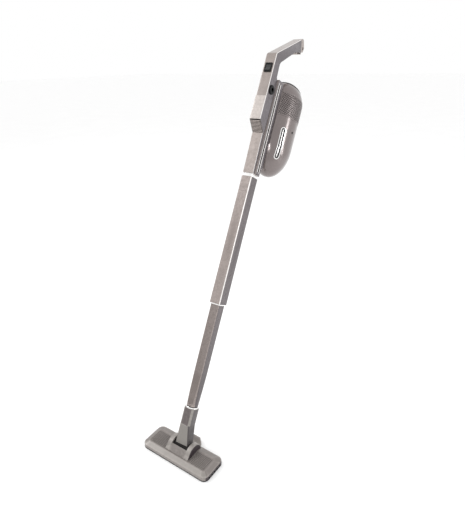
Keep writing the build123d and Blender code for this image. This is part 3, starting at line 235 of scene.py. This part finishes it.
TAUPE = (0.262, 0.225, 0.208)
M = {}
M["shell_taupe"] = shell("shell_taupe", TAUPE, metallic=0.30, rough=0.27, coat=0.25)
M["shell_light"] = shell("shell_light", (0.34, 0.305, 0.285), metallic=0.30, rough=0.30, coat=0.25)
# darker copy of the taupe shell for faces turned to the side: painted shade
M["shell_side_shade"] = shell("shell_side_shade", (0.100, 0.088, 0.095), metallic=0.25, rough=0.34, coat=0.12)
M["wand_metal"] = shell("wand_metal", (0.245, 0.208, 0.194), metallic=0.45, rough=0.26, grain=0.12, coat=0.25)
# darker copy of the wand paint for faces turned to the side: painted shade
M["wand_side_shade"] = shell("wand_side_shade", (0.086, 0.073, 0.076), metallic=0.35, rough=0.30, grain=0.12, coat=0.12)
M["wand_low"] = shell("wand_low", (0.165, 0.138, 0.128), metallic=0.45, rough=0.27, grain=0.12, coat=0.2)
M["pod_taupe"] = shell("pod_taupe", (0.165, 0.137, 0.133), metallic=0.40, rough=0.17, grain=0.05, coat=0.55, edge=0.1)
M["neck_taupe"] = shell("neck_taupe", (0.205, 0.190, 0.175), metallic=0.20, rough=0.40)
# darker copy of the neck paint for faces turned to the side: painted shade
M["neck_side_shade"] = shell("neck_side_shade", (0.060, 0.052, 0.053), metallic=0.10, rough=0.45, coat=0.0)
# dark copy for the adaptor's front-facing flat: painted shade
M["adaptor_front_shade"] = shell("adaptor_front_shade", (0.085, 0.070, 0.068), metallic=0.25, rough=0.38, coat=0.05)
# darker copy of the head paint for the sunken cells of the top grid: painted shade
M["grid_recess_shade"] = shell("grid_recess_shade", (0.085, 0.073, 0.068), metallic=0.1, rough=0.5, coat=0.0)
M["head_taupe"] = shell("head_taupe", (0.185, 0.165, 0.154), metallic=0.20, rough=0.42, coat=0.05)
# lighter copy of head_taupe; on the head cover it goes on faces turned forward and up as painted light
M["head_bevel"] = shell("head_bevel", (0.235, 0.215, 0.200), metallic=0.20, rough=0.38)
# near-black copy for the head's faces turned to the side: painted shade
M["side_shade_dark"] = shell("side_shade_dark", (0.026, 0.017, 0.021), metallic=0.05, rough=0.5, edge=0.15, coat=0.0)
M["dark_plastic"] = plain("dark_plastic", (0.0015, 0.0015, 0.0017), rough=0.42, spec=0.22)
# near-black for holes, gaps and recesses: painted shade
M["pit_shade"] = plain("pit_shade", (0.008, 0.006, 0.006), rough=0.6, spec=0.2)
# light copy put on the fillets between front and side faces: painted highlight
M["edge_highlight"] = shell("edge_highlight", (0.74, 0.71, 0.69), metallic=0.2, rough=0.28, edge=0.1)
# near-white for the saddle beads: painted highlight
M["bead_highlight"] = shell("bead_highlight", (0.80, 0.78, 0.76), metallic=0.3, rough=0.25, edge=0.0)
M["grey_plastic"] = plain("grey_plastic", (0.07, 0.062, 0.062), rough=0.5)
M["bright_metal"] = plain("bright_metal", (0.92, 0.91, 0.90), rough=0.12, metallic=1.0, grain=0.05, vary=0.03, rvar=0.05)
M["steel"] = plain("steel", (0.50, 0.49, 0.48), rough=0.28, metallic=1.0, grain=0.15, aniso=0.4, vary=0.08)
M["brass_pin"] = plain("brass_pin", (0.70, 0.52, 0.22), rough=0.25, metallic=1.0, grain=0.1)
M["rubber_black"] = plain("rubber_black", (0.006, 0.006, 0.006), rough=0.62, grain=0.5, scale=1500.0, spec=0.3)
M["felt"] = plain("felt", (0.14, 0.024, 0.028), rough=0.95, grain=1.0, scale=2400.0, vary=0.3, dist=0.0004, spec=0.1)
M["bristle"] = plain("bristle", (0.03, 0.027, 0.027), rough=0.55, grain=0.4, scale=3000.0, vary=0.5)
M["filter_paper"] = plain("filter_paper", (0.62, 0.60, 0.54), rough=0.9, grain=0.9, scale=1800.0, dist=0.0003)
M["cell_wrap"] = plain("cell_wrap", (0.03, 0.13, 0.22), rough=0.25, coat=0.4, grain=0.1)
M["board_green"] = plain("board_green", (0.015, 0.10, 0.04), rough=0.35, coat=0.4, grain=0.3)


def glassy():
    m, nt, b = new_mat("clear")
    L = nt.links.new
    tc = nd(nt, "ShaderNodeTexCoord")
    n1 = nd(nt, "ShaderNodeTexNoise", Scale=90.0, Detail=5.0)
    L(tc.outputs["Object"], n1.inputs["Vector"])
    r1 = ramp(nt, n1.outputs["Fac"], [(0.35, g(0.24)), (0.7, g(0.32))])
    L(r1.outputs[0], b.inputs["Roughness"])
    c1 = ramp(nt, n1.outputs["Fac"], [(0.3, (0.022, 0.020, 0.020, 1)), (0.7, (0.034, 0.031, 0.031, 1))])
    L(c1.outputs[0], b.inputs["Base Color"])
    bp = nd(nt, "ShaderNodeBump", Strength=0.06, Distance=0.0001)
    L(n1.outputs["Fac"], bp.inputs["Height"])
    L(bp.outputs[0], b.inputs["Normal"])
    b.inputs["Transmission Weight"].default_value = 0.45
    b.inputs["Specular IOR Level"].default_value = 0.25
    b.inputs["IOR"].default_value = 1.49
    return m


M["clear"] = glassy()


def smooth(o, angle=32.0):
    me = o.data
    me.polygons.foreach_set("use_smooth", [True] * len(me.polygons))
    me.set_sharp_from_angle(angle=radians(angle))
    wn_mod = o.modifiers.new("weighted", "WEIGHTED_NORMAL")
    wn_mod.keep_sharp = True
    wn_mod.weight = 90


def dress(o, *mats):
    o.data.materials.clear()
    for m in mats:
        o.data.materials.append(m)


slot_of = {p["node"]: p["material_slot"] for p in frame["record"]["subparts"]}
for name, o in NODES.items():
    dress(o, M.get(slot_of[name], M["shell_taupe"]))
    smooth(o)
for n in ("motor_housing", "dust_cup"):
    dress(NODES[n], M["pod_taupe"])
    smooth(NODES[n], 50.0)
for n in ("head_cover", "bonnet", "foot_pedal"):
    dress(NODES[n], M["head_taupe"])
M["gloss_black"] = plain("gloss_black", (0.004, 0.004, 0.0045), rough=0.16, spec=0.6, coat=0.4, rvar=0.04)
for n in ("rocker_switch",):
    dress(NODES[n], M["gloss_black"])
for n in ("upper_guard", "lower_guard", "grip_end_cap"):
    dress(NODES[n], M["shell_taupe"])


# ------------------------------------------------------------------ mesh helpers
def make(name, verts, faces, body, mats, replaces=(), sm=32.0, mat_idx=None):
    me = bpy.data.meshes.new(name)
    me.from_pydata([tuple(v) for v in verts], [], faces)
    me.validate()
    bm = bmesh.new()
    bm.from_mesh(me)
    bmesh.ops.recalc_face_normals(bm, faces=bm.faces)
    bm.to_mesh(me)
    bm.free()
    o = bpy.data.objects.new(name, me)
    bpy.context.scene.collection.objects.link(o)
    for m in mats:
        me.materials.append(m)
    if mat_idx:
        for p, i in zip(me.polygons, mat_idx):
            p.material_index = i
    smooth(o, sm)
    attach(o, body)
    if replaces:
        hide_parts(*replaces)
    return o


def skinned(name, parts, body, mats, rule=None, drop_x=False, sm=30.0):
    """Own copy of CAD skins as one moulding, with a material chosen face by face; the calls below use it for painted
    shade and painted highlights by face direction.
    """
    bm = bmesh.new()
    for n in parts:
        bm.from_mesh(NODES[n].data)
    bmesh.ops.remove_doubles(bm, verts=bm.verts, dist=0.00001)
    if drop_x:
        gone = [f for f in bm.faces if all(abs(v.co.x) < 0.00006 for v in f.verts)]
        bmesh.ops.delete(bm, geom=gone, context="FACES")
        for v in bm.verts:
            if abs(v.co.x) < 0.00006:
                v.co.x = 0.0
        bmesh.ops.remove_doubles(bm, verts=bm.verts, dist=0.00004)
    if rule:
        bm.normal_update()
        for f in bm.faces:
            f.material_index = rule(local(f.calc_center_median()), turn(f.normal), f.normal)
    me = bpy.data.meshes.new(name)
    bm.to_mesh(me)
    bm.free()
    o = bpy.data.objects.new(name, me)
    bpy.context.scene.collection.objects.link(o)
    for m in mats:
        me.materials.append(m)
    smooth(o, sm)
    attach(o, body)
    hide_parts(*parts)
    return o


def slab(name, nu, nv, fo, fi, body, mats, pick=None, replaces=(), sm=32.0):
    """Closed skin between an outer and an inner grid of points."""
    V = [fo(i, j) for j in range(nv + 1) for i in range(nu + 1)]
    V += [fi(i, j) for j in range(nv + 1) for i in range(nu + 1)]
    off, F, MI = (nu + 1) * (nv + 1), [], []

    def ix(i, j):
        return j * (nu + 1) + i

    for j in range(nv):
        for i in range(nu):
            F.append((ix(i, j), ix(i + 1, j), ix(i + 1, j + 1), ix(i, j + 1)))
            MI.append(pick(i, j) if pick else 0)
            F.append((off + ix(i, j), off + ix(i, j + 1), off + ix(i + 1, j + 1), off + ix(i + 1, j)))
            MI.append(0)
    for i in range(nu):
        F.append((ix(i, 0), off + ix(i, 0), off + ix(i + 1, 0), ix(i + 1, 0)))
        F.append((ix(i, nv), ix(i + 1, nv), off + ix(i + 1, nv), off + ix(i, nv)))
        MI += [0, 0]
    for j in range(nv):
        F.append((ix(0, j), ix(0, j + 1), off + ix(0, j + 1), off + ix(0, j)))
        F.append((ix(nu, j), off + ix(nu, j), off + ix(nu, j + 1), ix(nu, j + 1)))
        MI += [0, 0]
    return make(name, V, F, body, mats, replaces, sm, MI)


def rails(name, runs, body, mats, sm=40.0):
    """Closed bars: each run is (centres, side vector, normal vector, half width, height)."""
    V, F = [], []
    prof = [(-1.0, 0.0), (-1.0, 0.55), (-0.72, 0.88), (-0.3, 1.0), (0.3, 1.0), (0.72, 0.88), (1.0, 0.55), (1.0, 0.0)]
    n = len(prof)
    for pts, sd, nr, hw, ht in runs:
        base = len(V)
        for q in pts:
            V += [q + sd * (a * hw * MM) + nr * (b * ht * MM) for a, b in prof]
        for k in range(len(pts) - 1):
            for i in range(n):
                j = (i + 1) % n
                F.append((base + k * n + i, base + k * n + j, base + (k + 1) * n + j, base + (k + 1) * n + i))
        F.append(tuple(base + i for i in range(n)))
        F.append(tuple(base + (len(pts) - 1) * n + i for i in reversed(range(n))))
    return make(name, V, F, body, mats, (), sm)


# face rule: 1 = face turned to the side (painted shade), 2 = fillet between front and side (painted highlight), 0 =
# the rest
def sides(c, n, w):
    if n[0] > 0.86:
        return 1
    if n[0] > 0.30 and n[1] < -0.30:
        return 2
    if n[0] > 0.5:
        return 1
    return 0


XV = Vector((1, 0, 0))
FRONT = -BACK

# ---- body, wands, neck and head: painted shade on faces turned to the side and painted highlight on edge fillets, chosen face by face
skinned("body_shell", ["body_left", "body_right"], "body",
        [M["shell_taupe"], M["shell_side_shade"], M["edge_highlight"]], sides, drop_x=True)
skinned("cover_skin", ["battery_cover"], "body", [M["shell_light"], M["shell_side_shade"], M["edge_highlight"]], sides)
skinned("saddle_skin", ["pod_saddle"], "body", [M["shell_taupe"], M["shell_side_shade"], M["edge_highlight"]], sides)
skinned("upper_wand_skin", ["upper_wand"], "upper_tube", [M["wand_metal"], M["wand_side_shade"], M["edge_highlight"]], sides)
skinned("sleeve_skin", ["wand_sleeve"], "upper_tube", [M["wand_metal"], M["wand_side_shade"], M["edge_highlight"]], sides)
# lower wand: darker front, painted shade on the side faces, lighter wand paint on the fillets and the rest as painted
# highlight
skinned("lower_wand_skin", ["lower_wand"], "lower_tube",
        [M["wand_low"], M["wand_side_shade"], M["wand_metal"]],
        lambda c, n, w: 0 if n[1] < -0.93 else (1 if n[0] > 0.86 else 2))
# neck: near-black half-moon round the pivot and a darker copy on faces turned to the side, both painted shade
pv = local((0, 0.008, 0.020))
skinned("neck_skin", ["neck_wedge"], "neck", [M["neck_taupe"], M["neck_side_shade"], M["pit_shade"]],
        lambda c, n, w: 2 if hypot(c[1] - pv[1], c[2] - pv[2]) < 18.4 and c[2] < 20 else (1 if n[0] > 0.3 else 0))
# adaptor: painted shade on the side faces and on the front flat, the lighter neck paint on the chamfers
skinned("adaptor_skin", ["adaptor_sleeve"], "neck",
        [M["neck_taupe"], M["neck_side_shade"], M["adaptor_front_shade"]],
        lambda c, n, w: 1 if n[0] > 0.9 else (2 if n[1] < -0.9 else 0))
# bonnet: its outer cheek faces get the near-black copy as painted shade
skinned("bonnet_skin", ["bonnet"], "head", [M["head_bevel"], M["side_shade_dark"], M["head_taupe"]],
        lambda c, n, w: 1 if abs(w[0]) > 0.85 and abs(c[0]) > 37 else (2 if abs(c[0]) < 25 else 0))
# head cover: faces turned to +X get painted shade, faces turned forward and up get a lighter copy as painted light
skinned("cover_head_skin", ["head_cover"], "head",
        [M["head_taupe"], M["side_shade_dark"], M["head_bevel"]],
        lambda c, n, w: 1 if w[0] > 0.8 else (2 if (w[1] < -0.2 and w[2] > 0.3) else 0))

# ---- perforated skin of the motor housing, left and right of the saddle
CELL = 0.75


def grille(name, mirror):
    stations, w, a = [-67.0], 0.0, -67.0
    while a < 48.0:
        step = CELL / hypot(POD_RX * sin(radians(a)), POD_RY * cos(radians(a)))
        a += step * 180.0 / pi
        stations.append(a)
    nu, nv, s0 = len(stations) - 1, 82, 911.2

    def hole(i, j):
        if i < 3 or j < 3 or i > nu - 3 or j > nv - 3:
            return False
        for ci, cj in ((0, 0), (4, 4)):
            di, dj = (i - ci + 4) % 8 - 4, (j - cj + 4) % 8 - 4
            if abs(di) + abs(dj) <= 2:
                return True
        return False

    def ang(i):
        return 180.0 - stations[i] if mirror else stations[i]

    def fo(i, j):
        d = 0.08 if hole(i, j) else (0.12 if i in (0, nu) or j in (0, nv) else 0.55)
        return E(ang(i), s0 + CELL * j, d)

    def fi(i, j):
        return E(ang(i), s0 + CELL * j, 0.03)

    def pick(i, j):
        # hole cells are shallow dimples painted near-black: painted shade inside the perforations
        return 1 if sum((hole(i, j), hole(i + 1, j), hole(i, j + 1), hole(i + 1, j + 1))) >= 3 else 0

    return slab(name, nu, nv, fo, fi, "body", [M["pod_taupe"], M["pit_shade"]], pick, sm=50.0)


grille("grille_right", False)
grille("grille_left", True)

# ---- window: raised bright metal bar along the middle of the lens, a painted highlight in place of the reflection there
WA = radians(-36.5)
wn = Vector((cos(WA) / POD_RX, sin(WA) / POD_RY, 0)).normalized()
wx, wt = Vector((-wn.y, wn.x, 0)), radians(0.8)


def win_pt(u, v, d):
    """Point over the window, u along it and v across it, d mm outside the pod's skin."""
    x = POD_RX * cos(WA) + wx.x * (v * cos(wt) - u * sin(wt))
    y = POD_Y + POD_RY * sin(WA) + wx.y * (v * cos(wt) - u * sin(wt))
    s = 838.4 + u * cos(wt) + v * sin(wt)
    lo, hi = -6.0, 22.0
    for _ in range(40):
        m = (lo + hi) / 2
        if pod_gap(x - wn.x * m, y - wn.y * m, s, d) > 0:
            lo = m
        else:
            hi = m
    return P(x - wn.x * hi, y - wn.y * hi, s)


def bar(name, hw, length, hi_d, lo_d, mat, off=0.0):
    nv, nu = 70, 6

    def wid(j):
        u = -1.0 + 2.0 * j / nv
        e = max(0.0, (abs(u) * length - (length - hw)) / hw)
        return hw * sqrt(max(0.02, 1.0 - e * e))

    def fo(i, j):
        q = -1.0 + 2.0 * i / nu
        return win_pt((-1.0 + 2.0 * j / nv) * length, off + q * wid(j), lo_d + (hi_d - lo_d) * (1 - q ** 4) if abs(q) < 1 else lo_d + 0.02)

    def fi(i, j):
        return win_pt((-1.0 + 2.0 * j / nv) * length, off + (-1.0 + 2.0 * i / nu) * wid(j), lo_d)

    return slab(name, nu, nv, fo, fi, "cup", [mat], sm=50.0)


bar("window_highlight_bar", 1.7, 37.0, 0.35, -0.26, M["bright_metal"])

# ---- saddle: two near-white beads down each side as painted highlights on the flange edges, a near-black strip between them as painted shadow
for tag, sx in (("right", 1), ("left", -1)):
    ss = [743.0 + k * 238.0 / 40 for k in range(41)]
    nx = XV * sx
    rails("saddle_highlight_beads_" + tag, [([P(sx * 19.82, yc, s) for s in ss], BACK, nx, 1.0, 0.5) for yc in (-1.9, 7.1)],
          "body", [M["bead_highlight"]])
    rails("saddle_shadow_line_" + tag, [([P(sx * 18.92, 2.6, s) for s in ss], BACK, nx, 3.0, 0.3)],
          "body", [M["pit_shade"]])

# ---- louvre: full-width ribs on a dark plate, painted shade in the gaps between the ribs
UL = (BACK * -0.7583 + UP * 0.6519)
NL = (BACK * -0.6519 + UP * -0.7583)


def lou(x, u, n):
    return P(x, -16.9, 842.5) + UL * (u * MM) + NL * (n * MM)


V, F, MI = [], [], []


def loft_x(pts, x0, x1, mi):
    b, n = len(V), len(pts)
    for x in (x0, x1):
        V.extend(lou(x, u, h) for u, h in pts)
    for i in range(n):
        j = (i + 1) % n
        F.append((b + i, b + j, b + n + j, b + n + i))
        MI.append(mi)
    F.append(tuple(b + i for i in range(n)))
    F.append(tuple(b + n + i for i in reversed(range(n))))
    MI.extend([mi, mi])


loft_x([(0.4, -2.3), (35.9, -2.3), (36.2, -2.0), (36.2, -1.5), (0.4, -1.3)], -15.4, 15.4, 1)
for k in range(9):
    c = 2.9 + 3.85 * k
    loft_x([(c - 1.15, -1.25), (c - 1.1, -0.5), (c - 0.7, -0.12), (c, 0.0), (c + 0.7, -0.12), (c + 1.1, -0.5),
            (c + 1.15, -1.25)], -14.0, 15.4, 0)
make("louvre_ribs", V, F, "body", [M["shell_taupe"], M["pit_shade"]], ("louvre_grille",), 40.0, MI)


# ---- fine rib grid in both top panels of the head
def panel(name, sx):
    def ticks(lo, hi, pitch, half, slope):
        out, c = [(lo, 0)], lo + pitch / 2
        while c + half + slope < hi:
            out += [(c - half - slope, 0), (c - half, 1), (c + half, 1), (c + half + slope, 0)]
            c += pitch
        return out + [(hi, 0)]

    xs, ys = ticks(39.4, 88.8, 4.0, 0.55, 0.25), ticks(-22.3, 16.7, 4.0, 0.55, 0.25)

    def fo(i, j):
        z = 19.62 if (xs[i][1] or ys[j][1]) else 19.02
        return Vector((sx * xs[i][0] * MM, ys[j][0] * MM, z * MM))

    def fi(i, j):
        return Vector((sx * xs[i][0] * MM, ys[j][0] * MM, 18.93 * MM))

    # cells sunk between the ribs get the darker copy: painted shade in the recesses
    return slab(name, len(xs) - 1, len(ys) - 1, fo, fi, "head",
                [M["head_taupe"], M["grid_recess_shade"]],
                lambda i, j: 1 if not (xs[i][1] or xs[i + 1][1] or ys[j][1] or ys[j + 1][1]) else 0, sm=20.0)


panel("top_grid_right", 1)
panel("top_grid_left", -1)

# ---- bristles: rows of fine tufts in place of the plain strips
V, F = [], []
for yc in (-31.0, 14.5):
    for k in range(88):
        for r in range(2):
            x0 = -91.6 + 2.1 * k + 0.5 * r
            y0 = yc - 0.62 + 1.24 * r
            b = len(V)
            for z, q, dx, dy in ((4.6, 0.55, 0, 0), (2.2, 0.50, random.uniform(-.12, .12), random.uniform(-.1, .1)),
                                 (0.3, 0.62, random.uniform(-.2, .2), random.uniform(-.15, .15))):
                for m in range(6):
                    an = m * pi / 3
                    V.append(Vector(((x0 + dx + q * cos(an)) * MM, (y0 + dy + q * sin(an)) * MM, z * MM)))
            for lv in range(2):
                for m in range(6):
                    n2 = (m + 1) % 6
                    F.append((b + lv * 6 + m, b + lv * 6 + n2, b + lv * 6 + 6 + n2, b + lv * 6 + 6 + m))
            F.append(tuple(b + m for m in range(6)))
            F.append(tuple(b + 12 + m for m in reversed(range(6))))
make("bristle_tufts", V, F, "brush", [M["bristle"]], ("bristle_strips",), 40.0)

# ------------------------------------------------------------------ studio
floor = bpy.data.meshes.new("floor")
bm = bmesh.new()
for x, y in ((-30, -30), (30, -30), (30, 30), (-30, 30)):
    bm.verts.new((x, y, -0.0006))
bm.faces.new(bm.verts)
bm.to_mesh(floor)
bm.free()
fo = bpy.data.objects.new("floor", floor)
bpy.context.scene.collection.objects.link(fo)
fm, fnt, fb = new_mat("floor_white")
ftc = nd(fnt, "ShaderNodeTexCoord")
fn = nd(fnt, "ShaderNodeTexNoise", Scale=3.0, Detail=2.0)
fnt.links.new(ftc.outputs["Object"], fn.inputs["Vector"])
fr = ramp(fnt, fn.outputs["Fac"], [(0.3, g(0.975)), (0.7, g(0.99))])
fnt.links.new(fr.outputs[0], fb.inputs["Base Color"])
fb.inputs["Roughness"].default_value = 0.9
floor.materials.append(fm)

w = bpy.data.worlds.new("studio")
bpy.context.scene.world = w
w.use_nodes = True
w.node_tree.nodes["Background"].inputs[0].default_value = (1, 1, 1, 1)
w.node_tree.nodes["Background"].inputs[1].default_value = 1.0


def area(name, loc, target, size, power, col=(1, 1, 1)):
    d = bpy.data.lights.new(name, "AREA")
    d.shape = "RECTANGLE"
    d.size, d.size_y = size
    d.energy = power
    d.color = col
    o = bpy.data.objects.new(name, d)
    o.location = loc
    o.rotation_euler = (Vector(target) - Vector(loc)).to_track_quat("-Z", "Y").to_euler()
    bpy.context.scene.collection.objects.link(o)
    return o


area("key", (-2.4, -0.9, 2.5), (0, 0.25, 0.5), (0.8, 0.8), 34)
area("edge", (0.95, -1.25, 1.55), (0, 0.25, 0.6), (0.2, 0.5), 7)
area("rim", (2.0, 1.15, 1.0), (0, 0.4, 0.75), (0.30, 1.5), 12)
bpy.context.scene.view_settings.view_transform = "Standard"

# ------------------------------------------------------------------ camera
AZ, PITCH, ROLL = radians(35.06625708), radians(23.84259353), radians(-1.24534351)
fw = Vector((-sin(AZ) * cos(PITCH), cos(AZ) * cos(PITCH), -sin(PITCH)))
rt = Vector((cos(AZ), sin(AZ), 0))
upv = rt.cross(fw)
rt2 = rt * cos(ROLL) + upv * sin(ROLL)
up2 = upv * cos(ROLL) - rt * sin(ROLL)
cam = bpy.data.cameras.new("camera")
cam.lens = 445.912 * 36.0 / 515.0
cam.sensor_width = 36.0
cam.clip_end = 100
co = bpy.data.objects.new("camera", cam)
R = Matrix((rt2, up2, -fw)).transposed()
co.matrix_world = Matrix.Translation((0.6236414, -0.6352005, 0.9588663)) @ R.to_4x4()
bpy.context.scene.collection.objects.link(co)
bpy.context.scene.camera = co
